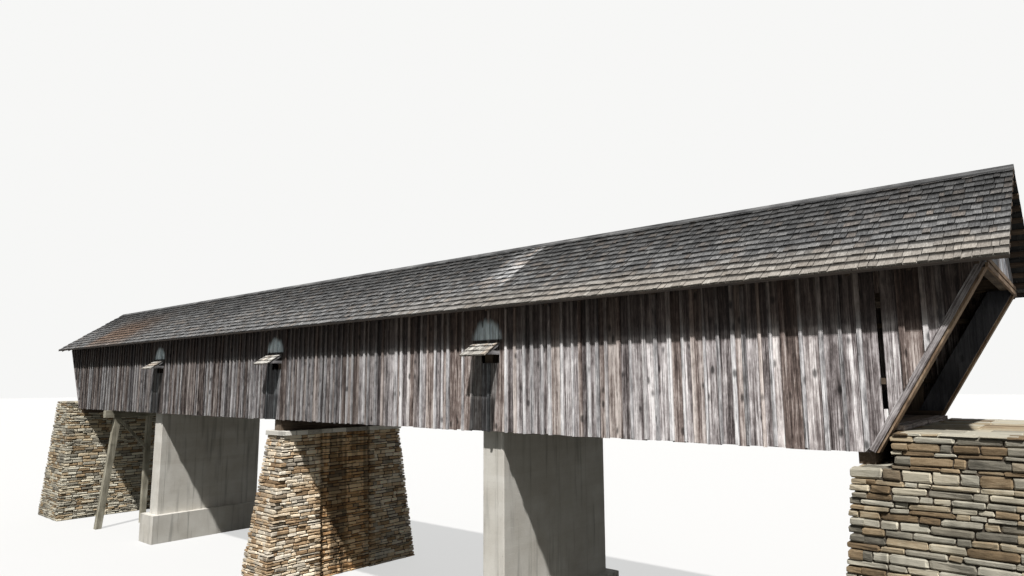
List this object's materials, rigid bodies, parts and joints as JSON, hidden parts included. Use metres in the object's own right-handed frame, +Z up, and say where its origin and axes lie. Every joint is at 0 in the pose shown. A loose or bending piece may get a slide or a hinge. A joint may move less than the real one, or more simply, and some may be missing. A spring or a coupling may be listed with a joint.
{
  "type": "covered bridge",
  "caption": "Old timber covered bridge with board walls, slanted portals and a shingled roof, on stone and concrete piers.",
  "frame": {"origin": "middle of the bridge at the foot of the centre pier, on the low water line", "axes": "+X along the bridge to the right end, -Y the near sunny side, +Z up"},
  "size_m": [39.93, 6.5888, 10.211],
  "materials": {
    "rubble_stone": "rough",
    "old_concrete": "board-marked",
    "wood_shingle": "weathered",
    "weathered_board": "weathered",
    "deck_plank": "worn",
    "framing_timber": "rough sawn"
  },
  "bodies": {
    "root": {"abutment_left": "rubble_stone", "abutment_right": "rubble_stone", "abutment_sills": "framing_timber", "bent_braces": "framing_timber", "bent_cap": "framing_timber", "bent_posts": "framing_timber", "concrete_footings": "old_concrete", "concrete_piers": "old_concrete", "deck": "deck_plank", "far_bottom_chord": "framing_timber", "far_lath": "framing_timber", "far_rafters": "framing_timber", "far_ridge_board": "wood_shingle", "far_roof": "wood_shingle", "far_siding": "weathered_board", "far_truss_braces": "framing_timber", "far_truss_posts": "framing_timber", "far_wall_plate": "framing_timber", "floor_beams": "framing_timber", "gable_siding": "weathered_board", "girts": "framing_timber", "hood_brackets": "weathered_board", "hoods": "wood_shingle", "near_bottom_chord": "framing_timber", "near_lath": "framing_timber", "near_rafters": "framing_timber", "near_ridge_board": "wood_shingle", "near_roof": "wood_shingle", "near_siding": "weathered_board", "near_truss_braces": "framing_timber", "near_truss_posts": "framing_timber", "near_wall_plate": "framing_timber", "pier_bearing_beam": "framing_timber", "portal_headers": "weathered_board", "rake_linings": "weathered_board", "rake_studs": "framing_timber", "raking_planks": "weathered_board", "stone_pier": "rubble_stone", "stone_pier_cap": "rubble_stone", "stringers": "framing_timber", "tie_beams": "framing_timber"}
  },
  "joints": []
}
